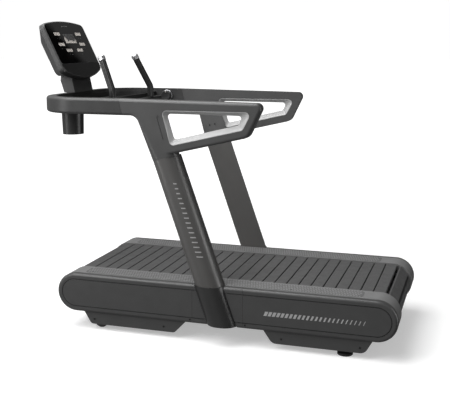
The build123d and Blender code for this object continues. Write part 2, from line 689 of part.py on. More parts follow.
SLOT_CENTRE = (-165.5, 1045.0)
SLOT_ANGLE = 106.3
SLOT_LENGTH = 118.0
SLOT_WIDTH = 14.0
SLOT_DEPTH = 3.0
neck_low = d_section(870.0)
neck_high = column_section(NECK_TOP, NECK_TOP_FRONT, NECK_TOP_REAR, HAND_IN, HAND_OUT, HEAD_ROUND)
window_cut = window(HAND_IN - 1, LINER_OUTLINE, 20)
liner_rim = window(HAND_IN + 0.8, LINER_OUTLINE, 19.8, grow=-0.3)
liner_mouths = [window(face_y, LINER_OUTLINE, 17, grow=-3) for face_y in (HAND_IN + 0.8, HAND_OUT - 0.8)]
liner_throat = window(HAND_MID, OPENING_OUTLINE, 14)

with BuildPart() as left_handle_head:
    with BuildSketch(Plane.XZ.offset(HAND_IN)) as head_side:
        with BuildLine():
            Polyline((NECK_TOP_FRONT, NECK_TOP - 1), HEAD_ARMPIT, RAIL_SEAM_LOW, RAIL_SEAM_TOP, HEAD_REAR_TOP,
                     HEAD_REAR_LOW, HEAD_NECK_REAR, close=True)
        make_face()
        for corner, radius in ((HEAD_ARMPIT, 46), (HEAD_REAR_TOP, 25), (HEAD_REAR_LOW, 42)):
            fillet(head_side.vertices().sort_by_distance((*corner, 0))[0], radius)
    extrude(amount=HAND_OUT - HAND_IN)
    outer_edges = left_handle_head.faces().sort_by(Axis.Y)[0].edges()
    long_edges = outer_edges.filter_by(lambda edge: edge.length > 15 and edge.center().Z > 930)
    fillet(long_edges.filter_by(lambda edge: not -240 < edge.center().X < -150)
           .filter_by(lambda edge: edge.center().X > -360), HEAD_ROUND)
    loft([neck_low.sketch.face(), neck_high.sketch.face()])
    split(bisect_by=JOINT_PLANE, keep=Keep.TOP)
    add(window_cut.sketch)
    extrude(amount=120, dir=OUTWARD, mode=Mode.SUBTRACT)
    with BuildSketch(Plane.XZ.offset(HAND_OUT - SLOT_DEPTH)):
        with Locations(Location((*SLOT_CENTRE, 0), (0, 0, SLOT_ANGLE))):
            SlotOverall(SLOT_LENGTH, SLOT_WIDTH)
    extrude(amount=40, mode=Mode.SUBTRACT)
    with BuildSketch(Plane.XZ.offset(COLUMN_INNER - 4)):
        with Locations(*HEAD_SCREWS):
            Circle(4.3)
    extrude(amount=16, mode=Mode.SUBTRACT)

right_handle_head = mirrored(left_handle_head)

with BuildPart() as handle_liners:
    add(liner_rim.sketch)
    extrude(amount=HAND_OUT - HAND_IN - 1.6, dir=OUTWARD)
    for mouth in liner_mouths:
        loft([mouth.sketch.face(), liner_throat.sketch.face()], mode=Mode.SUBTRACT)
    mirror(about=Plane.XZ)

# ================================================================ front frame, tray and cup holder
FRAME_FRONT = -848.0
FRAME_R = 215.0
SEAM_LEAN = (RAIL_SEAM_TOP[0] - RAIL_SEAM_LOW[0]) / RAIL_DEPTH
SEAM_PLANE = Plane(origin=(RAIL_SEAM_LOW[0] - 0.6, 0, RAIL_SEAM_LOW[1]), x_dir=(0, 1, 0),
                   z_dir=(1, 0, -SEAM_LEAN))
TRAY_REAR = -535.0
TRAY_FLOOR = 1128.0
TRAY_LIP = 1158.0
TRAY_HALF = HAND_IN - 0.5
TRAY_FRONT = FRAME_FRONT + HAND_OUT - HAND_IN + 0.5
CUP_X = -726.0
CUP_Y = -250.0
CUP_LOW = 979.0
CUP_TOP = 1150.0
CUP_BORE_R = 46.0
CUP_FLOOR = 5.0

with BuildPart() as console_frame:
    with BuildSketch(Plane.XY.offset(RAIL_TOP - RAIL_DEPTH)) as frame_plan:
        with Locations(((FRAME_FRONT - 300) / 2, 0)):
            Rectangle(-300 - FRAME_FRONT, 2 * HAND_OUT)
        fillet(frame_plan.vertices().group_by(Axis.X)[0], FRAME_R)
    extrude(amount=RAIL_DEPTH)
    fillet(console_frame.faces().sort_by(Axis.Z)[-1].edges().filter_by(
        lambda edge: edge.center().X < -310), HEAD_ROUND)
    fillet(console_frame.faces().sort_by(Axis.Z)[0].edges().filter_by(
        lambda edge: edge.center().X < -310), HEAD_ROUND)
    with BuildSketch(Plane.XY.offset(RAIL_TOP - RAIL_DEPTH)) as frame_hole:
        with Locations(((FRAME_FRONT + HAND_OUT - HAND_IN - 200) / 2, 0)):
            Rectangle(-200 - FRAME_FRONT - HAND_OUT + HAND_IN, 2 * HAND_IN)
        fillet(frame_hole.vertices().group_by(Axis.X)[0], FRAME_R - HAND_OUT + HAND_IN)
    extrude(amount=RAIL_DEPTH, mode=Mode.SUBTRACT)
    split(bisect_by=SEAM_PLANE, keep=Keep.BOTTOM)

STOP_X = -590.0
STOP_Y = -165.0
STOP_R = 15.0
STOP_TRAVEL = 3.0

with BuildPart() as tray:
    with BuildSketch(Plane.XY.offset(TRAY_FLOOR)) as tray_plan:
        with Locations(((TRAY_FRONT + TRAY_REAR) / 2, 0)):
            Rectangle(TRAY_REAR - TRAY_FRONT, 2 * TRAY_HALF)
        fillet(tray_plan.vertices().group_by(Axis.X)[0], FRAME_R - HAND_OUT + HAND_IN)
    extrude(amount=TRAY_LIP - TRAY_FLOOR)
    with BuildSketch(Plane.XY.offset(TRAY_FLOOR + SKIN)) as tray_hollow:
        with Locations(((TRAY_FRONT + TRAY_REAR) / 2, 0)):
            Rectangle(TRAY_REAR - TRAY_FRONT - 2 * SKIN, 2 * (TRAY_HALF - SKIN))
        fillet(tray_hollow.vertices().group_by(Axis.X)[0], FRAME_R - HAND_OUT + HAND_IN - SKIN)
    extrude(amount=TRAY_LIP - TRAY_FLOOR, mode=Mode.SUBTRACT)
    with BuildSketch(Plane.XY.offset(TRAY_FLOOR)):
        with Locations((CUP_X, CUP_Y)):
            Circle(57)
    extrude(amount=SKIN, mode=Mode.SUBTRACT)
    with BuildSketch(Plane.XY.offset(TRAY_FLOOR + SKIN)):
        with Locations((STOP_X, STOP_Y)):
            Circle(STOP_R + 8)
            Circle(STOP_R + 0.5, mode=Mode.SUBTRACT)
    extrude(amount=14)

with BuildPart() as cup_profile:
    with BuildSketch(Plane.XZ):
        with BuildLine():
            Polyline((0, CUP_LOW), (52.5, CUP_LOW), (56.5, TRAY_FLOOR + SKIN), (63, TRAY_FLOOR + SKIN),
                     (63, TRAY_FLOOR + SKIN + 3), (57, CUP_TOP), (CUP_BORE_R, CUP_TOP),
                     (CUP_BORE_R, CUP_LOW + CUP_FLOOR), (0, CUP_LOW + CUP_FLOOR), close=True)
        make_face()
    revolve(axis=Axis.Z)

with BuildPart() as cup_holder:
    with Locations((CUP_X, CUP_Y, 0)):
        add(cup_profile.part)

# ---------------------------------------------------------------- grips in front of the runner
GRIP_R = 17.5
BAR_X = -505.0
BAR_Z = 1132.0
BAR_R = 8.0
GRIP_Y = 244.0
GRIP_TOP = (-572.0, -210.0, 1345.0)
GRIP_BEND = (BAR_X, -GRIP_Y, 1196.0)

with BuildPart() as grip_crossbar:
    with BuildSketch(Plane.XZ):
        with Locations((BAR_X, BAR_Z)):
            Circle(BAR_R)
    extrude(amount=HAND_IN - 0.2, both=True)

with BuildPart() as grip_sticks:
    with BuildLine() as grip_path:
        FilletPolyline((BAR_X, -GRIP_Y, BAR_Z + BAR_R + 1), GRIP_BEND, GRIP_TOP, radius=45)
    with BuildSketch(Plane(origin=grip_path.line @ 0, z_dir=grip_path.line % 0)):
        Circle(GRIP_R)
    sweep()
    mirror(about=Plane.XZ)

with BuildPart() as grip_caps:
    with BuildSketch(Plane(origin=grip_path.line @ 1, z_dir=grip_path.line % 1)):
        Circle(GRIP_R + 1)
    extrude(amount=24)
    fillet(grip_caps.faces().sort_by(Axis.Z)[-1].edges(), 5)
    mirror(about=Plane.XZ)

# ---------------------------------------------------------------- resistance knob
KNOB_X = -465.0
KNOB_Z = 1137.0
KNOB_R = 29.0
KNOB_FACE = 366.0
KNOB_STEM_R = 8.0

with BuildPart() as knob_base:
    with BuildSketch(Plane.XZ.offset(-HAND_IN + 0.1)):
        with Locations((KNOB_X, KNOB_Z)):
            Circle(31)
    extrude(amount=5)
    with BuildSketch(Plane.XZ.offset(-HAND_IN + 5)):
        with Locations((KNOB_X, KNOB_Z)):
            Circle(KNOB_STEM_R)
    extrude(amount=20)

with BuildPart() as resistance_knob:
    with BuildSketch(Plane.XZ.offset(-HAND_IN + 6)):
        with Locations((KNOB_X, KNOB_Z)):
            Circle(KNOB_R)
    extrude(amount=HAND_IN - 6 - KNOB_FACE)
    fillet(resistance_knob.faces().sort_by(Axis.Y)[0].edges(), 4)
    with BuildSketch(Plane.XZ.offset(-HAND_IN + 6)):
        with Locations((KNOB_X, KNOB_Z)):
            Circle(KNOB_STEM_R + RUNNING_GAP)
    extrude(amount=20, mode=Mode.SUBTRACT)

with BuildPart() as knob_ring:
    with BuildSketch(Plane.XZ.offset(-HAND_IN + 6.5)):
        with Locations((KNOB_X, KNOB_Z)):
            Circle(KNOB_R + 2)
            Circle(KNOB_R, mode=Mode.SUBTRACT)
    extrude(amount=7)
    chamfer(knob_ring.edges().filter_by(lambda edge: edge.length > 6.2 * (KNOB_R + 1)), 0.8)

with BuildPart() as stop_button:
    with BuildSketch(Plane.XY.offset(TRAY_FLOOR + SKIN + STOP_TRAVEL + 1)):
        with Locations((STOP_X, STOP_Y)):
            Circle(STOP_R)
    extrude(amount=16)
    fillet(stop_button.faces().sort_by(Axis.Z)[-1].edges(), 3)

# ================================================================ console
CONSOLE_TILT = 25.8
CONSOLE_HALF_WIDTH = 217.0
CONSOLE_SIDE_TOP = 144.0
CONSOLE_SIDE_LOW = 118.0
CONSOLE_ARCH = 163.0
BEZEL_DEPTH = 28.0
BACK_DEPTH = 82.0
BACK_HALF_WIDTH = 160.0
BACK_TOP = 98.0
BACK_LOW = -112.0
GLASS_LOW = -79.0
GLASS_INSET = 8.0
GLASS_THICK = 3.0
CONSOLE_SIN = math.sin(math.radians(CONSOLE_TILT))
CONSOLE_COS = math.cos(math.radians(CONSOLE_TILT))
FACE_X = -(DECK_X + DECK_HALF) + BACK_TOP * CONSOLE_SIN + BACK_DEPTH * CONSOLE_COS
FACE_Z = 1399.0
FACE_NORMAL = Vector(CONSOLE_COS, 0, CONSOLE_SIN)


def console_plane(depth):
    """Plane parallel to the console's face, this far behind it."""
    return Plane(origin=Vector(FACE_X, 0, FACE_Z) - FACE_NORMAL * depth, x_dir=(0, 1, 0), z_dir=FACE_NORMAL)


def console_outline(depth, inset=0.0, low_edge=None):
    """The console's outline with arched top and bottom, or cut straight at low_edge."""
    half = CONSOLE_HALF_WIDTH - inset
    top = CONSOLE_SIDE_TOP - inset * 0.8
    arch = CONSOLE_ARCH - inset
    bottom = inset * 0.8 - CONSOLE_SIDE_LOW if low_edge is None else low_edge
    with BuildSketch(console_plane(depth)) as outline:
        with BuildLine():
            Line((-half, bottom), (-half, top))
            ThreePointArc((-half, top), (0, arch), (half, top))
            Line((half, top), (half, bottom))
            if low_edge is None:
                ThreePointArc((half, bottom), (0, -arch), (-half, bottom))
            else:
                Line((half, bottom), (-half, bottom))
        make_face()
        fillet(outline.vertices(), max(28 - inset, 6))
    return outline


bezel_outline = console_outline(BEZEL_DEPTH)
glass_pocket = console_outline(GLASS_THICK + 0.2, GLASS_INSET, GLASS_LOW)
bezel_hollow = console_outline(BEZEL_DEPTH, GLASS_INSET + 8, GLASS_LOW + 8)
glass_outline = console_outline(GLASS_THICK, GLASS_INSET + 0.3, GLASS_LOW + 0.3)
shell_mouth = console_outline(BEZEL_DEPTH, 6)
with BuildSketch(console_plane(BACK_DEPTH)) as back_face:
    with Locations((0, (BACK_TOP + BACK_LOW) / 2)):
        RectangleRounded(2 * BACK_HALF_WIDTH, BACK_TOP - BACK_LOW, 30)
with BuildSketch(console_plane(BACK_DEPTH - SKIN)) as back_inside:
    with Locations((0, (BACK_TOP + BACK_LOW) / 2)):
        RectangleRounded(2 * BACK_HALF_WIDTH - 10, BACK_TOP - BACK_LOW - 10, 25)

with BuildPart() as console_bezel:
    add(bezel_outline.sketch)
    extrude(amount=BEZEL_DEPTH, dir=FACE_NORMAL)
    chamfer(console_bezel.faces().sort_by(Axis((0, 0, 0), tuple(FACE_NORMAL)))[-1].edges(), 5)
    add(glass_pocket.sketch)
    extrude(amount=GLASS_THICK + 1, dir=FACE_NORMAL, mode=Mode.SUBTRACT)
    add(bezel_hollow.sketch)
    extrude(amount=BEZEL_DEPTH, dir=FACE_NORMAL, mode=Mode.SUBTRACT)

with BuildPart() as console_glass:
    add(glass_outline.sketch)
    extrude(amount=GLASS_THICK, dir=FACE_NORMAL)

with BuildPart() as back_block:
    loft([bezel_outline.sketch.face(), back_face.sketch.face()])

with BuildPart() as console_back_shell:
    add(back_block.part)
    loft([shell_mouth.sketch.face(), back_inside.sketch.face()], mode=Mode.SUBTRACT)

with BuildPart() as display_board:
    with BuildSketch(console_plane(14)):
        with Locations((0, 28)):
            Rectangle(290, 180)
    extrude(amount=1.6, dir=FACE_NORMAL)
    with BuildSketch(console_plane(12.4)):
        with Locations((0, 28)):
            with GridLocations(190, 58, 2, 3):
                Rectangle(56, 26)
            Rectangle(96, 110)
    extrude(amount=8, dir=FACE_NORMAL)

NECK_HALF = 105.0

with BuildPart() as console_neck:
    with BuildSketch(Plane.XZ) as neck_side:
        with BuildLine():
            Polyline((-848, RAIL_TOP + 0.5), (-786, RAIL_TOP + 0.5), (-799, 1238), (-802, 1262),
                     (-862, 1281), (-868, 1238), close=True)
        make_face()
    extrude(amount=NECK_HALF, both=True)
    add(back_block.part, mode=Mode.SUBTRACT)

# ================================================================ labels and files
PIECES = {
    "top_slats": top_slats,
    "top_carrier_belts": top_carrier_belts,
    "bottom_slats": bottom_slats,
    "bottom_carrier_belts": bottom_carrier_belts,
    "front_wrap_slats": front_wrap_slats,
    "front_wrap_belts": front_wrap_belts,
    "front_drum": front_drum,
    "rear_wrap_slats": rear_wrap_slats,
    "rear_wrap_belts": rear_wrap_belts,
    "rear_drum": rear_drum,
    "brake_disc": brake_disc,
    "brake_yoke": brake_yoke,
    "brake_guide": brake_guide,
    "side_frames": side_frames,
    "cross_members": cross_members,
    "drum_bearings": drum_bearings,
    "glide_rails": glide_rails,
    "left_cover_front": left_cover_front,
    "left_cover_middle": left_cover_middle,
    "left_cover_rear": left_cover_rear,
    "right_cover_front": right_cover_front,
    "right_cover_middle": right_cover_middle,
    "right_cover_rear": right_cover_rear,
    "left_foot_rail": left_foot_rail,
    "right_foot_rail": right_foot_rail,
    "grip_strips": grip_strips,
    "rail_screws": rail_screws,
    "belly_pans": belly_pans,
    "front_skirts": front_skirts,
    "rear_skirts": rear_skirts,
    "panel_screws": panel_screws,
    "left_wheel": left_wheel,
    "right_wheel": right_wheel,
    "wheel_axles": wheel_axles,
    "wheel_forks": wheel_forks,
    "left_foot": left_foot,
    "right_foot": right_foot,
    "foot_blocks": foot_blocks,
    "left_upright": left_upright,
    "right_upright": right_upright,
    "boots": boots,
    "left_handle_head": left_handle_head,
    "right_handle_head": right_handle_head,
    "handle_liners": handle_liners,
    "console_frame": console_frame,
    "tray": tray,
    "cup_holder": cup_holder,
    "grip_crossbar": grip_crossbar,
    "grip_sticks": grip_sticks,
    "grip_caps": grip_caps,
    "knob_base": knob_base,
    "resistance_knob": resistance_knob,
    "knob_ring": knob_ring,
    "stop_button": stop_button,
    "console_bezel": console_bezel,
    "console_glass": console_glass,
    "console_back_shell": console_back_shell,
    "display_board": display_board,
    "console_neck": console_neck,
}
for name, piece in PIECES.items():
    piece.part.label = name
    export_step(piece.part, f"parts/{name}.step")
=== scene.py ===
"""Looks of a slat-belt manual treadmill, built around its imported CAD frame."""

import math

import bmesh
import bpy
from mathutils import Matrix, Vector
from mathutils.bvhtree import BVHTree


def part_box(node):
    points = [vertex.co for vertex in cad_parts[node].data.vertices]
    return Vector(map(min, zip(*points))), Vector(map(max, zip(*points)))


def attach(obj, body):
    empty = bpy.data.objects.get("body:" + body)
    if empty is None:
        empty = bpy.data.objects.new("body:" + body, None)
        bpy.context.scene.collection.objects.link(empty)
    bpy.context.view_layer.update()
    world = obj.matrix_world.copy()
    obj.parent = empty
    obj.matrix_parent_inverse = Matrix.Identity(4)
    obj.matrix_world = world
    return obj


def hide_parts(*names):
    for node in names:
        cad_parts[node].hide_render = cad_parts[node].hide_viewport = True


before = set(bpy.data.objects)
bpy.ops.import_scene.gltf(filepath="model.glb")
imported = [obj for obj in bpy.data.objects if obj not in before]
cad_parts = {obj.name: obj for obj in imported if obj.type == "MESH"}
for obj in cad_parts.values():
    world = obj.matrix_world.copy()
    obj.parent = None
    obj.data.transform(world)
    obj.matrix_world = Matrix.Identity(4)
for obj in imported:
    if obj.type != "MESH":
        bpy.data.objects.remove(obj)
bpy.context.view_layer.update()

MM = 0.001
CONSOLE_TILT = math.radians(25.8)  # the console's face leans back this far
CONSOLE_SIN, CONSOLE_COS = math.sin(CONSOLE_TILT), math.cos(CONSOLE_TILT)
COLUMN_X = 51 * MM  # column's middle at the top of the deck
COLUMN_LEAN = 0.35  # forward travel per height
DECK_TOP = 290 * MM


# ---------------------------------------------------------------- materials
NOISE_SPAN = (0.3, 0.7)  # where nearly all of a noise texture's values lie


def mapped(tree, value, span_in, span_out):
    """Maps one range of a node value onto another."""
    node = tree.nodes.new("ShaderNodeMapRange")
    node.inputs["From Min"].default_value, node.inputs["From Max"].default_value = span_in
    node.inputs["To Min"].default_value, node.inputs["To Max"].default_value = span_out
    tree.links.new(value, node.inputs["Value"])
    return node.outputs["Result"]


class Surface:
    """A Principled material with procedural colour, roughness and relief in object space."""

    def __init__(self, name, colour, roughness, **sockets):
        self.material = bpy.data.materials.new(name)
        self.material.use_nodes = True
        self.tree = self.material.node_tree
        self.shader = self.tree.nodes["Principled BSDF"]
        self.colour = colour
        self.shader.inputs["Base Color"].default_value = (*colour, 1)
        self.shader.inputs["Roughness"].default_value = roughness
        for socket, value in sockets.items():
            self.shader.inputs[socket.replace("_", " ")].default_value = value
        self.place = self.tree.nodes.new("ShaderNodeTexCoord").outputs["Object"]
        self.normal = None

    def noise(self, size, detail):
        """Noise whose blobs are about size metres across."""
        mapping = self.tree.nodes.new("ShaderNodeMapping")
        mapping.inputs["Scale"].default_value = [1 / size] * 3
        self.tree.links.new(self.place, mapping.inputs["Vector"])
        noise = self.tree.nodes.new("ShaderNodeTexNoise")
        noise.inputs["Scale"].default_value = 1.0
        noise.inputs["Detail"].default_value = detail
        self.tree.links.new(mapping.outputs["Vector"], noise.inputs["Vector"])
        return noise.outputs["Fac"]

    def spread(self, fac, low, high):
        """Maps a noise output onto low..high."""
        return mapped(self.tree, fac, NOISE_SPAN, (low, high))

    def mottle(self, size, amount):
        """Varies the colour by a share of itself, in blobs of this size."""
        mix = self.tree.nodes.new("ShaderNodeMix")
        mix.data_type = "RGBA"
        mix.inputs["A"].default_value = (*[c * (1 - amount) for c in self.colour], 1)
        mix.inputs["B"].default_value = (*[c * (1 + amount) for c in self.colour], 1)
        self.tree.links.new(self.spread(self.noise(size, 3.0), 0, 1), mix.inputs["Factor"])
        self.tree.links.new(mix.outputs["Result"], self.shader.inputs["Base Color"])
        return self

    def smudge(self, size, low, high):
        """Varies the roughness between low and high, as handling and dust do."""
        self.tree.links.new(self.spread(self.noise(size, 4.0), low, high), self.shader.inputs["Roughness"])
        return self

    def relief(self, size, height):
        """Adds a bumpy layer whose grains are about size metres across."""
        bump = self.tree.nodes.new("ShaderNodeBump")
        bump.inputs["Strength"].default_value = 1.0
        bump.inputs["Distance"].default_value = height
        self.tree.links.new(self.noise(size, 2.0), bump.inputs["Height"])
        if self.normal:
            self.tree.links.new(self.normal, bump.inputs["Normal"])
        self.normal = bump.outputs["Normal"]
        self.tree.links.new(self.normal, self.shader.inputs["Normal"])
        return self


def grey(level, warmth=0.0):
    """A grey of this linear level, a little warm or cool."""
    return (level * (1 + warmth), level, level * (1 - warmth))


def moulded(name, level, roughness, grain=0.9 * MM):
    """Moulded plastic with a fine spark-eroded grain."""
    surface = Surface(name, grey(level), roughness, Specular_IOR_Level=0.45)
    surface.mottle(60 * MM, 0.05).smudge(90 * MM, roughness - 0.04, roughness + 0.05)
    return surface.relief(grain, 0.05 * MM)


def painted(name, level, roughness, warmth=0.0):
    """Powder-coated steel: an orange-peel skin over fine grit."""
    surface = Surface(name, grey(level, warmth), roughness, Coat_Weight=0.12, Coat_Roughness=0.3)
    surface.mottle(80 * MM, 0.04).smudge(120 * MM, roughness - 0.04, roughness + 0.04)
    return surface.relief(3.5 * MM, 0.02 * MM).relief(0.7 * MM, 0.02 * MM)


def metal(name, colour, roughness):
    """Bare metal with faint machining marks."""
    surface = Surface(name, colour, roughness, Metallic=1.0)
    surface.mottle(20 * MM, 0.05).smudge(15 * MM, roughness * 0.75, roughness * 1.3)
    return surface.relief(0.8 * MM, 0.01 * MM)


def rubber(name, level, roughness, grain=1.2 * MM, height=0.12 * MM):
    """Vulcanised rubber, dull and pebbled."""
    surface = Surface(name, grey(level), roughness, Specular_IOR_Level=0.35)
    surface.mottle(35 * MM, 0.07).smudge(50 * MM, roughness - 0.06, roughness + 0.06)
    return surface.relief(grain, height)


FINISHES = {
    "belt_rubber": rubber("slat_rubber", 0.072, 0.5, 1.4 * MM, 0.14 * MM),
    "carrier_rubber": rubber("carrier_rubber", 0.02, 0.7),
    "casing_charcoal": moulded("casing_charcoal", 0.05, 0.36),
    "rail_grey": moulded("rail_grey", 0.17, 0.4, grain=0.6 * MM),
    "grip_texture": rubber("grip_pad", 0.115, 0.6, 0.8 * MM, 0.08 * MM),
    "column_grey": painted("column_paint", 0.074, 0.36, 0.03),
    "boot_gloss": moulded("boot_gloss", 0.022, 0.3),
    "head_grey": moulded("head_grey", 0.062, 0.36),
    "liner_silver": moulded("liner_silver", 0.42, 0.36, grain=0.5 * MM),
    "frame_black": moulded("frame_black", 0.034, 0.36),
    "tray_black": moulded("tray_black", 0.02, 0.42),
    "cup_gloss": moulded("cup_gloss", 0.022, 0.34, grain=2.5 * MM),
    "grip_rubber": rubber("grip_rubber", 0.015, 0.38, 0.7 * MM, 0.05 * MM),
    "bright_chrome": metal("bright_chrome", (0.82, 0.82, 0.84), 0.28),
    "knob_black": moulded("knob_black", 0.024, 0.38),
    "button_red": Surface("button_red", (0.45, 0.02, 0.02), 0.3).mottle(8 * MM, 0.06),
    "console_bezel": moulded("console_bezel", 0.052, 0.34),
    "console_shell": moulded("console_shell", 0.045, 0.4),
    "display_glass": Surface("display_glass", grey(0.002), 0.05).smudge(70 * MM, 0.03, 0.08),
    "circuit_board": Surface("circuit_board", (0.01, 0.09, 0.03), 0.4).mottle(8 * MM, 0.3),
    "frame_steel": painted("frame_paint", 0.03, 0.5),
    "turned_steel": metal("turned_steel", (0.28, 0.28, 0.29), 0.4),
    "disc_aluminium": metal("disc_aluminium", (0.75, 0.76, 0.78), 0.25),
    "glide_plastic": moulded("glide_plastic", 0.5, 0.5),
    "screw_black": metal("screw_black", (0.04, 0.04, 0.04), 0.4),
    "foot_rubber": rubber("foot_rubber", 0.018, 0.6),
    "wheel_rubber": rubber("wheel_rubber", 0.03, 0.55),
}


def finish_nodes():
    """Gives every CAD node the finish of its material slot."""
    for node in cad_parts.values():
        for slot in node.material_slots:
            name = slot.material.name.split(".")[0]
            if name in FINISHES:
                slot.material = FINISHES[name].material


# ---------------------------------------------------------------- stage
FLOOR_SIZE = 120
FLOOR_GREY = 0.72
# The floor glows less under the object than far away: painted shade round the object.
FLOOR_GLOW = (0.4, 1.0)  # emission below the object and far away
GLOW_REACH = (1.8, 5.0)  # distances from the middle between which the glow grows
DOME_RADIUS = 58
SKY = (  # share of the way from straight down to straight up, level
    (0.0, 0.3), (0.44, 0.24), (0.52, 0.28), (0.7, 0.52), (0.92, 0.25), (1.0, 0.15),
)
SKY_FRONT_REAR = (1.75, 0.35)  # strength towards the console's end and towards the rear
SKY_LEFT_RIGHT = (1.3, 0.45)  # strength towards the left and towards the right
FLAG_PLACE = (0.72, 2.3, 2.5)  # black card that darkens the reflection in the console's glass
FLAG_SIZE = (1.5, 2.6)
FLAG_AIM = (-0.84, 0.0, 1.4)
SOFT_BOXES = (  # name, place, size, watts
    ("key_box", (-2.0, -3.0, 2.9), (2.4, 1.8), 75),
    ("side_box", (3.6, -2.6, 2.4), (1.4, 2.6), 5),
    ("top_box", (-1.1, -0.5, 4.0), (3.8, 3.4), 200),
)
SOFT_BOX_AIM = (0, 0, 0.6)
STRIPS = (  # cards that only reflections see: name, place, size, strength
    ("left_strip", (-2.9, -2.4, 0.9), (0.8, 2.6), 4.0),
    ("right_strip", (3.6, 0.0, 0.9), (1.4, 2.6), 4.2),
)
STRIP_AIM = (0, 0, 0.9)
CAMERA_PLACE = (1.2734, -4.027, 1.45)
CAMERA_DOWN = 10.985  # degrees below the horizon
CAMERA_TURN = 17.49  # degrees from looking along +Y
CAMERA_LENS = 66.2


def hide_from(thing, *rays):
    """Makes a stage object invisible to these kinds of ray."""
    for ray in rays:
        setattr(thing, f"visible_{ray}", False)


def glowing(name, base, roughness, strength):
    """A grey surface that gives off white light."""
    surface = Surface(name, grey(base), roughness)
    surface.shader.inputs["Emission Color"].default_value = (1, 1, 1, 1)
    surface.shader.inputs["Emission Strength"].default_value = strength
    return surface


def backdrop():
    """Pale floor under a white dome, glowing less round the object than far away, which is painted shade.
    Neither lights the object nor shows in its gloss.
    """
    bpy.ops.mesh.primitive_plane_add(size=FLOOR_SIZE)
    floor = bpy.context.object
    floor.name = "floor"
    white = glowing("floor_white", FLOOR_GREY, 0.9, FLOOR_GLOW[1])
    white.mottle(3.0, 0.01)
    reach = white.tree.nodes.new("ShaderNodeVectorMath")
    reach.operation = "LENGTH"
    white.tree.links.new(white.place, reach.inputs[0])
    glow = mapped(white.tree, reach.outputs["Value"], GLOW_REACH, FLOOR_GLOW)
    white.tree.links.new(glow, white.shader.inputs["Emission Strength"])
    floor.data.materials.append(white.material)
    bpy.ops.mesh.primitive_uv_sphere_add(radius=DOME_RADIUS, segments=48, ring_count=24)
    dome = bpy.context.object
    dome.name = "backdrop"
    dome.data.materials.append(glowing("backdrop_white", 0.0, 1.0, 1.0).material)
    for surround in (floor, dome):
        hide_from(surround, "diffuse", "glossy", "transmission")
    hide_from(dome, "shadow")


def sky():
    """Grey sky, graded by height and stronger towards the console's end and the left."""
    world = bpy.data.worlds.new("studio")
    bpy.context.scene.world = world
    world.use_nodes = True
    tree = world.node_tree
    toward = tree.nodes.new("ShaderNodeSeparateXYZ")
    tree.links.new(tree.nodes.new("ShaderNodeTexCoord").outputs["Generated"], toward.inputs["Vector"])
    ramp = tree.nodes.new("ShaderNodeValToRGB")
    bands = ramp.color_ramp.elements
    while len(bands) < len(SKY):
        bands.new(0.5)
    for band, (place, level) in zip(bands, SKY):
        band.position = place
        band.color = (*grey(level), 1)
    background = tree.nodes["Background"]
    tree.links.new(mapped(tree, toward.outputs["Z"], (-1, 1), (0, 1)), ramp.inputs["Fac"])
    tree.links.new(ramp.outputs["Color"], background.inputs["Color"])
    product = tree.nodes.new("ShaderNodeMath")
    product.operation = "MULTIPLY"
    for slot, axis, levels in ((0, "X", SKY_FRONT_REAR), (1, "Y", SKY_LEFT_RIGHT)):
        tree.links.new(mapped(tree, toward.outputs[axis], (-1, 1), levels), product.inputs[slot])
    tree.links.new(product.outputs["Value"], background.inputs["Strength"])


def cards():
    """A black card for the console's glass, and white strips for everything glossy."""
    flag = plane_at("glass_flag", FLAG_PLACE, FLAG_SIZE, FLAG_AIM)
    flag.data.materials.append(Surface("flag_black", grey(0.0), 1.0, Specular_IOR_Level=0.0).material)
    hide_from(flag, "camera", "diffuse", "shadow")
    for name, place, size, strength in STRIPS:
        strip = plane_at(name, place, size, STRIP_AIM)
        strip.data.materials.append(glowing(name, 0.0, 1.0, strength).material)
        hide_from(strip, "camera", "diffuse", "shadow")


def plane_at(name, place, size, aim):
    """A flat card of this size at a place, facing a point."""
    half_w, half_h = size[0] / 2, size[1] / 2
    mesh = bpy.data.meshes.new(name)
    mesh.from_pydata([(-half_w, -half_h, 0), (half_w, -half_h, 0), (half_w, half_h, 0), (-half_w, half_h, 0)],
                     [], [(0, 1, 2, 3)])
    card = bpy.data.objects.new(name, mesh)
    card.location = place
    card.rotation_euler = (Vector(aim) - Vector(place)).to_track_quat("-Z", "Y").to_euler()
    bpy.context.scene.collection.objects.link(card)
    return card


def soft_box(name, place, size, watts):
    """A rectangular area light aimed at the middle of the object."""
    light = bpy.data.lights.new(name, "AREA")
    light.shape = "RECTANGLE"
    light.size, light.size_y = size
    light.energy = watts
    lamp = bpy.data.objects.new(name, light)
    lamp.location = place
    aim = Vector(SOFT_BOX_AIM) - Vector(place)
    lamp.rotation_euler = aim.to_track_quat("-Z", "Y").to_euler()
    bpy.context.scene.collection.objects.link(lamp)


def photo_camera():
    """A long lens, low in front of the left rear corner."""
    lens = bpy.data.cameras.new("photo_camera")
    lens.lens = CAMERA_LENS
    lens.sensor_width = 36
    camera = bpy.data.objects.new("photo_camera", lens)
    camera.location = CAMERA_PLACE
    camera.rotation_euler = (math.radians(90 - CAMERA_DOWN), 0, math.radians(CAMERA_TURN))
    bpy.context.scene.collection.objects.link(camera)
    bpy.context.scene.camera = camera
    bpy.context.scene.view_settings.view_transform = "Standard"


# ---------------------------------------------------------------- mesh helpers
def piece(name, shape, finish, body="frame", sharp=30):
    """Turns a bmesh into a named piece that rides on a body."""
    mesh = bpy.data.meshes.new(name)
    bmesh.ops.recalc_face_normals(shape, faces=shape.faces)
    shape.to_mesh(mesh)
    shape.free()
    mesh.shade_smooth()
    mesh.set_sharp_from_angle(angle=math.radians(sharp))
    mesh.materials.append(finish.material)
    made = bpy.data.objects.new(name, mesh)
    bpy.context.scene.collection.objects.link(made)
    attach(made, body)
    return made


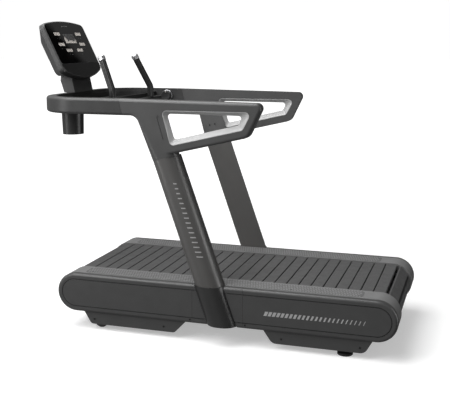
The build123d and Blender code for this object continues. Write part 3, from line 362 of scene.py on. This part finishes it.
def skin(shape, rings):
    """Closes a stack of rings of vertices into a solid."""
    for a, b in zip(rings, rings[1:]):
        for k in range(len(a)):
            j = (k + 1) % len(a)
            shape.faces.new((a[k], a[j], b[j], b[k]))
    shape.faces.new(rings[0])
    shape.faces.new(rings[-1])


def prism(shape, outline, place, height, inset=0.0):
    """Adds a closed prism: outline is a list of 2-D points, place maps (u, v, w) to a point.

    Its top is drawn in towards the middle by inset, a share of the outline.
    """
    middle = sum((Vector(p) for p in outline), Vector((0, 0))) / len(outline)
    rings = []
    for w, shrink in ((0.0, 0.0), (height, inset)):
        corners = [Vector(p).lerp(middle, shrink) for p in outline]
        rings.append([shape.verts.new(place(u, v, w)) for u, v in corners])
    skin(shape, rings)


def hexagon(half_u, half_v, point):
    """An elongated hexagon whose two points lie along v."""
    return [(-half_u, -half_v + point), (0, -half_v), (half_u, -half_v + point),
            (half_u, half_v - point), (0, half_v), (-half_u, half_v - point)]


def pill(half_u, half_v, steps):
    """A rounded slot outline, longest along u."""
    points = []
    for side, start in ((1, -90), (-1, 90)):
        for i in range(steps + 1):
            angle = math.radians(start + 180 * i / steps)
            points.append((side * (half_u - half_v) + half_v * math.cos(angle), half_v * math.sin(angle)))
    return points


def shifted(outline, u, v):
    """The outline moved by (u, v)."""
    return [(a + u, b + v) for a, b in outline]


def fluted_tube(shape, path, radii, sides, flutes, depth):
    """Sweeps a circle with lengthwise flutes along a path of points with one radius each."""
    rings = []
    side = Vector((0, 1, 0))
    for i, point in enumerate(path):
        ahead = path[min(i + 1, len(path) - 1)] - path[max(i - 1, 0)]
        ahead.normalize()
        across = (side - ahead * side.dot(ahead)).normalized()
        up = ahead.cross(across)
        ring = []
        for k in range(sides):
            angle = 2 * math.pi * k / sides
            radius = radii[i] - depth * (0.5 - 0.5 * math.cos(flutes * angle))
            ring.append(shape.verts.new(point + (across * math.cos(angle) + up * math.sin(angle)) * radius))
        rings.append(ring)
    skin(shape, rings)


def onto(node):
    """Returns a function that drops a point along +Y onto the outside of a CAD node."""
    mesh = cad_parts[node].data
    tree = BVHTree.FromPolygons([v.co for v in mesh.vertices], [p.vertices for p in mesh.polygons])

    def drop(x, z, lift):
        hit, normal = tree.ray_cast(Vector((x, -2, z)), Vector((0, 1, 0)))[:2]
        return hit + Vector((0, -1, 0)) * lift

    return drop


# ---------------------------------------------------------------- foot rail grip
STUD_PITCH = (13.2 * MM, 24.0 * MM)
STUD_HALF = (4.6 * MM, 10.2 * MM)
STUD_POINT = 3.4 * MM
STUD_HEIGHT = 0.9 * MM
STUD_SINK = 0.2 * MM  # how far a stud's foot is below the pad's face
STUD_ROWS = 4
STUD_MARGIN = 12 * MM  # from the pad's end to the first stud
BELT_TO_PAD = 14 * MM


def grip_studs():
    """Raised long hexagons in staggered rows on both anti-slip pads."""
    low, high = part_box("grip_strips")
    pad_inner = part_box("top_slats")[1].y + BELT_TO_PAD
    middle_y = (high.y + pad_inner) / 2
    columns = int((high.x - low.x) / STUD_PITCH[0]) - 1
    stud = hexagon(*STUD_HALF, STUD_POINT)
    for name, side in (("left", -1), ("right", 1)):
        shape = bmesh.new()
        for row in range(STUD_ROWS):
            y = middle_y + (row - (STUD_ROWS - 1) / 2) * STUD_PITCH[1]
            stagger = (row % 2) * STUD_PITCH[0] / 2
            for column in range(columns):
                x = low.x + STUD_MARGIN + column * STUD_PITCH[0] + stagger
                prism(shape, shifted(stud, x, side * y),
                      lambda u, v, w: Vector((u, v, high.z - STUD_SINK + w)), STUD_HEIGHT, 0.12)
        piece(f"{name}_grip_studs", shape, FINISHES["rail_grey"])


# ---------------------------------------------------------------- console face
# White for the display's LEDs, which really glow; the knob's pointer line takes it too, and there the glow is
# painted light.
LED_WHITE_AND_PAINTED_GLOW = Surface("led_white_and_painted_glow", (0.5, 0.47, 0.44), 0.4,
                    Emission_Color=(1.0, 0.93, 0.87, 1), Emission_Strength=0.42)
LED_WHITE_AND_PAINTED_GLOW.mottle(12 * MM, 0.15)
LED_DIM = Surface("led_dim", grey(0.12), 0.4).mottle(12 * MM, 0.15)
GLASS_LOW = 78.7 * MM  # from the face's middle down to the glass's lower edge
GLASS_THICK = 3 * MM
PRINT = 0.25 * MM  # how far figures stand on the glass
DIGIT = (8.5 * MM, 17 * MM)
SEGMENT = 2.4 * MM
WINDOWS = [(x * side * MM, y * MM) for x, y in ((116, 87), (114, 28), (58, -6)) for side in (-1, 1)]
PROFILE = (16, 10)  # columns, rows
PROFILE_PITCH = (7.3 * MM, 5.3 * MM)
PROFILE_LOW = 37 * MM
TOP_MARKS_UP = 131 * MM


def console_place():
    """Maps (across, up, out) on the console's glass to a point."""
    low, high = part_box("console_glass")
    face = Vector((high.x - GLASS_LOW * CONSOLE_SIN, 0,
                   low.z + GLASS_THICK * CONSOLE_SIN + GLASS_LOW * CONSOLE_COS))
    up = Vector((-CONSOLE_SIN, 0, CONSOLE_COS))
    out = Vector((CONSOLE_COS, 0, CONSOLE_SIN))
    return lambda u, v, w: face + Vector((0, 1, 0)) * u + up * v + out * w


def digit(shape, place, u, v):
    """A seven-segment figure eight centred on (u, v)."""
    half_w, half_h = DIGIT[0] / 2, DIGIT[1] / 2
    long = half_h - SEGMENT * 0.6
    for row in (-1, 0, 1):
        bar = pill(half_w - SEGMENT * 0.2, SEGMENT / 2, 2)
        prism(shape, shifted(bar, u, v + row * (half_h - SEGMENT / 2)), place, PRINT)
    for side in (-1, 1):
        for row in (-1, 1):
            bar = [(b, a) for a, b in pill(long / 2 - SEGMENT * 0.1, SEGMENT / 2, 2)]
            prism(shape, shifted(bar, u + side * half_w, v + row * long / 2), place, PRINT)


def display():
    """Six numeric windows, a bar profile and small key marks on the glass."""
    place = console_place()
    digits = bmesh.new()
    for u, v in WINDOWS:
        for offset in (-23.5, -8.5, 8.5, 23.5):
            digit(digits, place, u + offset * MM, v)
        for dot in (-4, 4):
            prism(digits, shifted(pill(1.4 * MM, 1.2 * MM, 3), u, v + dot * MM), place, PRINT)
    piece("display_digits", digits, LED_WHITE_AND_PAINTED_GLOW)

    lit, dim = bmesh.new(), bmesh.new()
    cell = pill(3.0 * MM, 1.9 * MM, 2)
    columns, rows = PROFILE
    for column in range(columns):
        wave = (1 + math.sin(column * 0.85 + 0.6)) * (0.6 + 0.4 * math.cos(column * 0.3))
        height = 2 + round(2.4 * wave)
        for row in range(rows):
            u = (column - (columns - 1) / 2) * PROFILE_PITCH[0]
            v = PROFILE_LOW + row * PROFILE_PITCH[1]
            prism(lit if row < height else dim, shifted(cell, u, v), place, PRINT)
    piece("profile_bars_lit", lit, LED_WHITE_AND_PAINTED_GLOW)
    piece("profile_bars_dim", dim, LED_DIM)

    marks = bmesh.new()
    arrow = [(-2.6 * MM, -1.6 * MM), (2.6 * MM, -1.6 * MM), (0, 2.6 * MM)]
    for u, v in WINDOWS:
        for way in (-1, 1):
            mark = [(way * a, way * b) for a, b in arrow]
            prism(marks, shifted(mark, u + way * 12 * MM, v - 24 * MM), place, PRINT)
    for k in (-1, 0, 1):
        prism(marks, shifted(pill(9 * MM, 2.2 * MM, 4), k * 24 * MM, TOP_MARKS_UP), place, PRINT)
    piece("key_marks", marks, LED_DIM)


CHIN_TOP = -79.5 * MM
CHIN_SIDE_LOW = -112 * MM
CHIN_ARCH_LOW = -156 * MM
CHIN_CORNER = 22 * MM
CHIN_STEPS = 24
CHIN_BLACK = moulded("chin_black", 0.004, 0.36)


def console_chin():
    """Gloss black cover plate over the key-less strip below the glass."""
    place = console_place()
    low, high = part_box("console_bezel")
    half = (high.y - low.y) / 2 - 8 * MM
    sag = CHIN_ARCH_LOW - CHIN_SIDE_LOW
    outline = [(half, CHIN_TOP), (-half, CHIN_TOP)]
    for k in range(CHIN_STEPS + 1):
        u = -half + 2 * half * k / CHIN_STEPS
        v = CHIN_SIDE_LOW + sag * (1 - (u / half) ** 2)
        rounding = max(0.0, abs(u) - (half - CHIN_CORNER))
        rise = CHIN_CORNER - math.sqrt(max(CHIN_CORNER ** 2 - rounding ** 2, 0.0))
        outline.append((u, v + rise))
    shape = bmesh.new()
    prism(shape, outline, place, 0.5 * MM, 0.004)
    piece("console_chin", shape, CHIN_BLACK)


# ---------------------------------------------------------------- grips, knob and marks
ARC_STEPS = 10


def arc_path(start, bend, end, radius):
    """Points along the arc of this radius that joins two straight runs."""
    before, after = (start - bend).normalized(), (end - bend).normalized()
    half = before.angle(after) / 2
    reach = radius / math.tan(half)
    centre = bend + (before + after).normalized() * (radius / math.sin(half))
    first, last = bend + before * reach - centre, bend + after * reach - centre
    sweep = first.angle(last)
    axis = first.cross(last)
    return [centre + Matrix.Rotation(sweep * i / ARC_STEPS, 3, axis) @ first for i in range(ARC_STEPS + 1)]


STICK_R = 17.5 * MM
STICK_Y = 244 * MM
STICK_BEND_UP = 64 * MM  # from the crossbar's axis
STICK_BEND_R = 45 * MM
STICK_TIP = (-67 * MM, 210 * MM, 213 * MM)  # back from the crossbar, out from the middle, up
TIP_DARK_MARKS = 8
TIP_MARK_START = 10 * MM  # from the grip's end
CAP_R = 18.5 * MM


def tip_place(tip, ahead, out):
    """Maps (round the stick, along it, out of it) to a point on a chrome tip."""
    around = ahead.cross(out)
    foot = CAP_R - 0.6 * MM
    return lambda u, v, w: tip + ahead * (TIP_MARK_START + v) + around * u + out * (foot + w)


def stick_grips():
    """Fluted rubber grips on the two steel sticks, with black slot marks on the chrome tips that paint dark
    bands of their reflection.
    """
    bar_low, bar_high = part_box("grip_crossbar")
    bar = (bar_low + bar_high) / 2
    mark_outline = [(b, a) for a, b in pill(7 * MM, 1.8 * MM, 4)]
    grips, slots = bmesh.new(), bmesh.new()
    for side in (-1, 1):
        start = Vector((bar.x, side * STICK_Y, bar.z + 3 * MM))
        bend = Vector((bar.x, side * STICK_Y, bar.z + STICK_BEND_UP))
        tip = Vector((bar.x + STICK_TIP[0], side * STICK_TIP[1], bar.z + STICK_TIP[2]))
        arc = arc_path(start, bend, tip, STICK_BEND_R)
        lower = [start.lerp(arc[0], t) for t in (0.0, 0.1, 0.2, 0.3, 0.6)]
        upper = [arc[-1].lerp(tip, t) for t in (0.2, 0.4, 0.6, 0.8, 0.94, 0.97, 1.0)]
        path = lower + arc + upper
        radii = [STICK_R - (1.6 * MM if i in (0, len(path) - 1) else 0) for i in range(len(path))]
        fluted_tube(grips, path, radii, sides=96, flutes=12, depth=1.5 * MM)
        ahead = (tip - arc[-1]).normalized()
        across = Vector((0, 1, 0)).cross(ahead).normalized()
        other = ahead.cross(across)
        # Black marks on each chrome tip paint the dark bands between its highlights: painted reflection.
        for k in range(TIP_DARK_MARKS):
            angle = 2 * math.pi * k / TIP_DARK_MARKS
            out = across * math.cos(angle) + other * math.sin(angle)
            prism(slots, mark_outline, tip_place(tip, ahead, out), 0.8 * MM)
    made = piece("stick_grips", grips, FINISHES["grip_rubber"], sharp=50)
    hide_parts("grip_sticks")
    piece("tip_reflection_marks", slots, FINISHES["knob_black"])


KNOB_BORE = 20 * MM
KNOB_SIDES = 144
KNOB_SCALLOPS = 24


def knob_grip():
    """Scalloped resistance knob with a glowing pointer line, whose glow is painted light, in place of its
    plain blank.
    """
    low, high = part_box("resistance_knob")
    centre = (low + high) / 2
    radius = (high.x - low.x) / 2
    profile = [  # place along the axis, share of the radius; from the bore's end round to the dished face
        (high.y - KNOB_BORE, 0.29), (high.y, 0.29), (high.y, 0.86), (high.y, 0.985), (high.y - 2 * MM, 1.0),
        (low.y + 5 * MM, 1.0), (low.y + 2 * MM, 0.97), (low.y, 0.86), (low.y + 0.2 * MM, 0.7),
        (low.y + 1.4 * MM, 0.62), (low.y + 1.6 * MM, 0.3),
    ]
    shape = bmesh.new()
    rings = []
    for y, share in profile:
        ring = []
        for k in range(KNOB_SIDES):
            angle = 2 * math.pi * k / KNOB_SIDES
            scallop = 1 - 0.035 * max(0.0, math.cos(KNOB_SCALLOPS * angle)) if share > 0.9 else 1.0
            r = radius * share * scallop
            ring.append(shape.verts.new((centre.x + r * math.cos(angle), y, centre.z + r * math.sin(angle))))
        rings.append(ring)
    skin(shape, rings)
    knob = piece("knob_grip", shape, FINISHES["knob_black"], "knob")
    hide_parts("resistance_knob")

    pointer = bmesh.new()
    line = shifted([(b, a) for a, b in pill(5 * MM, 1.1 * MM, 4)], 0, radius * 0.78)
    prism(pointer, line, lambda u, v, w: Vector((centre.x + u, low.y - w, centre.z + v)), 0.3 * MM)
    # The pointer is a printed line that glows here: painted light.
    piece("knob_pointer", pointer, LED_WHITE_AND_PAINTED_GLOW, "knob")


DASH = Surface("mark_grey", grey(0.36), 0.45).mottle(10 * MM, 0.06)
COVER_DASHES = 24
COVER_DASH_PITCH = 20.4 * MM
COVER_DASH_HALF = 10.5 * MM  # half height
COVER_DASH_SLANT = 9 * MM
COLUMN_DASHES = 16
COLUMN_DASH_LOW = 440 * MM
COLUMN_DASH_PITCH = 23 * MM
COLUMN_DASH_BACK = 22 * MM  # from the column's middle
COLUMN_DASH_STEPS = 6  # so that a dash follows the column's round face
COLUMN_DASH_CORNERS = (  # height, distance out of the column's skin
    (-2.6 * MM, -0.3 * MM), (-2.6 * MM, 0.25 * MM), (2.6 * MM, 0.25 * MM), (2.6 * MM, -0.3 * MM),
)


def cover_marks():
    """A plain fading row of slanted dashes on each rear side panel."""
    for side, sign in (("left", -1), ("right", 1)):
        low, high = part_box(f"{side}_cover_rear")
        face = low.y if sign < 0 else high.y
        start = low.x + 0.14 * (high.x - low.x)
        z = low.z + 0.44 * (high.z - low.z)
        half, slant = COVER_DASH_HALF, COVER_DASH_SLANT
        shape = bmesh.new()
        for k in range(COVER_DASHES):
            x = start + k * COVER_DASH_PITCH
            width = (15.5 - 0.54 * k) * MM
            outline = [(x, -half), (x + width, -half), (x + width + slant, half), (x + slant, half)]
            prism(shape, outline, lambda u, v, w: Vector((u, face + sign * w, z + v)), 0.3 * MM)
        piece(f"{side}_cover_dashes", shape, DASH)


def column_x(z):
    """Middle of the leaning columns at this height."""
    return COLUMN_X - COLUMN_LEAN * (z - DECK_TOP)


def column_marks():
    """A plain ladder of short dashes up each column's round face."""
    drop = onto("left_upright")
    for side, sign in (("left", -1), ("right", 1)):
        shape = bmesh.new()
        for k in range(COLUMN_DASHES):
            z = COLUMN_DASH_LOW + k * COLUMN_DASH_PITCH
            half = (15 - 0.5 * k) * MM
            rings = []
            for i in range(COLUMN_DASH_STEPS + 1):
                along = COLUMN_DASH_BACK + half * (2 * i / COLUMN_DASH_STEPS - 1)
                spots = [drop(column_x(z + dz) + along, z + dz, lift) for dz, lift in COLUMN_DASH_CORNERS]
                rings.append([shape.verts.new((p.x, -sign * p.y, p.z)) for p in spots])
            skin(shape, rings)
        piece(f"{side}_column_dashes", shape, DASH)


# ---------------------------------------------------------------- back of the console and tray
BACK_DEPTH = 82 * MM  # from the console's face to its flat back
BACK_MIDDLE = -7 * MM
LOUVRES = 9
LOUVRE_PITCH = 6.5 * MM
HATCH_HALF_WIDTH = 70 * MM
HATCH_UP = (-72 * MM, -12 * MM)
BACK_SCREWS = ((-132, 78), (132, 78), (-132, -86), (132, -86), (0, 84))
BACK_SCREW_R = 4.4 * MM
BACK_SCREW_HEAD = 1.4 * MM
SOCKET_HALF = (2.4 * MM, 0.5 * MM)
# Near-black for dark fills drawn where there are recesses: vent slots, screw sockets and the covers' groove.
# Their darkness is painted shade.
PAINTED_SHADE_DARK = Surface("painted_shade_dark", grey(0.012), 0.7).mottle(6 * MM, 0.2)


def console_back():
    """Louvres drawn as dark slots of painted shade, a service hatch and five screws with dark sockets of
    painted shade, on the console's flat back.
    """
    place = console_place()

    def on_back(lift):
        return lambda u, v, w: place(u, v + BACK_MIDDLE, -BACK_DEPTH - lift - w)

    # The louvre slots are dark patches: painted shade of the vent openings.
    louvres = bmesh.new()
    for side in (-1, 1):
        for k in range(LOUVRES):
            louvre = shifted(pill(34 * MM, 2.2 * MM, 5), side * 78 * MM, 30 * MM + LOUVRE_PITCH * k)
            prism(louvres, louvre, on_back(0), 0.3 * MM)
    piece("back_louvre_shades", louvres, PAINTED_SHADE_DARK)

    hatch = bmesh.new()
    half, (low, high) = HATCH_HALF_WIDTH, HATCH_UP
    outline = [(-half, low), (half, low), (half, high), (-half, high)]
    prism(hatch, outline, on_back(0), 1.2 * MM, 0.02)
    piece("back_hatch", hatch, FINISHES["console_bezel"])

    screws, sockets = bmesh.new(), bmesh.new()
    turns = [2 * math.pi * k / 32 for k in range(32)]
    head = [(BACK_SCREW_R * math.cos(a), BACK_SCREW_R * math.sin(a)) for a in turns]
    half_u, half_v = SOCKET_HALF
    bar = [(half_u, half_v), (-half_u, half_v), (-half_u, -half_v), (half_u, -half_v)]
    for u, v in BACK_SCREWS:
        spot = (u * MM, v * MM)
        prism(screws, shifted(head, *spot), on_back(0), BACK_SCREW_HEAD, 0.18)
        # Dark crosses on the screw heads stand for the sockets' recess: painted shade.
        for cross in (bar, [(b, a) for a, b in bar]):
            prism(sockets, shifted(cross, *spot), on_back(BACK_SCREW_HEAD - 0.05 * MM), 0.12 * MM)
    piece("back_screws", screws, FINISHES["screw_black"])
    piece("back_screw_socket_shades", sockets, PAINTED_SHADE_DARK)


TRAY_SKIN = 4 * MM
MAT_THICK = 1.5 * MM
MAT_CORNER = 26 * MM
MAT_MARGIN = (58 * MM, 12 * MM)  # from the tray's front and rear edges
MAT_ACROSS = (-120 * MM, 335 * MM)
RIB_PITCH = 8 * MM


def tray_mat():
    """Ribbed rubber mat in the tray."""
    low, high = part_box("tray")
    floor_z = low.z + TRAY_SKIN
    front, rear = low.x + MAT_MARGIN[0], high.x - MAT_MARGIN[1]
    left, right = MAT_ACROSS
    x_front, x_rear = front + MAT_CORNER, rear - MAT_CORNER
    y_left, y_right = left + MAT_CORNER, right - MAT_CORNER
    outline = []
    for x, y, start in ((x_rear, y_right, 0), (x_front, y_right, 90),
                        (x_front, y_left, 180), (x_rear, y_left, 270)):
        for k in range(9):
            angle = math.radians(start + 90 * k / 8)
            outline.append((x + MAT_CORNER * math.cos(angle), y + MAT_CORNER * math.sin(angle)))
    base, ribs = bmesh.new(), bmesh.new()
    prism(base, outline, lambda u, v, w: Vector((u, v, floor_z + w)), MAT_THICK)
    piece("tray_mat", base, FINISHES["grip_rubber"])
    rib = [(b, a) for a, b in pill((right - left) / 2 - MAT_CORNER, 1.4 * MM, 4)]
    foot = floor_z + MAT_THICK - 0.1 * MM
    x = front + 12 * MM
    while x < rear - 10 * MM:
        prism(ribs, shifted(rib, x, (right + left) / 2),
              lambda u, v, w: Vector((u, v, foot + w)), 1.1 * MM, 0.001)
        x += RIB_PITCH
    piece("tray_mat_ribs", ribs, FINISHES["grip_rubber"])


# ---------------------------------------------------------------- painted shade in the side covers' groove
BOOT_REACH = 84 * MM  # from the column's middle to clear of its boot
GROOVE_MIDDLE = 70 * MM  # radius of the groove's end turns
GROOVE_HALF = 1.9 * MM
GROOVE_FLOOR = 2.3 * MM  # below the cover's face
SHADE_STRIP_THICK = 0.5 * MM
SHADE_STRIP_STEPS = (6, 24)  # along each straight and round each end


def groove_run(shape, points, face, outward):
    """A thin dark strip of painted shade along a chain of (x, z) points at the bottom of the groove."""
    bottom, top = face - outward * GROOVE_FLOOR, face - outward * (GROOVE_FLOOR - SHADE_STRIP_THICK)
    rings = []
    for i, point in enumerate(points):
        ahead = (points[min(i + 1, len(points) - 1)] - points[max(i - 1, 0)]).normalized()
        across = Vector((-ahead.y, ahead.x)) * GROOVE_HALF
        one, other = point + across, point - across
        corners = ((one, bottom), (other, bottom), (other, top), (one, top))
        rings.append([shape.verts.new((spot.x, y, spot.y)) for spot, y in corners])
    skin(shape, rings)


def cover_groove_shades():
    """Dark strip in the groove round each cover's panel, painted shade for the groove, left open at the
    upright's boot.
    """
    for side, outward in (("left", -1), ("right", 1)):
        front_low, front_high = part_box(f"{side}_cover_front")
        rear_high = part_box(f"{side}_cover_rear")[1]
        face = front_low.y if outward < 0 else front_high.y
        radius = (front_high.z - front_low.z) / 2
        axle_z = (front_high.z + front_low.z) / 2
        shape = bmesh.new()
        for centre_x, turn in ((front_low.x + radius, 1), (rear_high.x - radius, -1)):
            straights = []
            for z in (axle_z + GROOVE_MIDDLE, axle_z - GROOVE_MIDDLE):
                boot_edge = Vector((column_x(z) - turn * BOOT_REACH, z))
                steps = SHADE_STRIP_STEPS[0]
                straights.append([boot_edge.lerp(Vector((centre_x, z)), t / steps) for t in range(steps)])
            bend = []
            for k in range(SHADE_STRIP_STEPS[1] + 1):
                angle = math.radians(90 + turn * 180 * k / SHADE_STRIP_STEPS[1])
                bend.append(Vector((centre_x + GROOVE_MIDDLE * math.cos(angle),
                                    axle_z + GROOVE_MIDDLE * math.sin(angle))))
            groove_run(shape, straights[0] + bend + straights[1][::-1], face, outward)
        piece(f"{side}_cover_groove_shade", shape, PAINTED_SHADE_DARK)


backdrop()
sky()
cards()
for box in SOFT_BOXES:
    soft_box(*box)
photo_camera()
finish_nodes()
grip_studs()
display()
console_chin()
stick_grips()
knob_grip()
cover_marks()
column_marks()
console_back()
tray_mat()
cover_groove_shades()
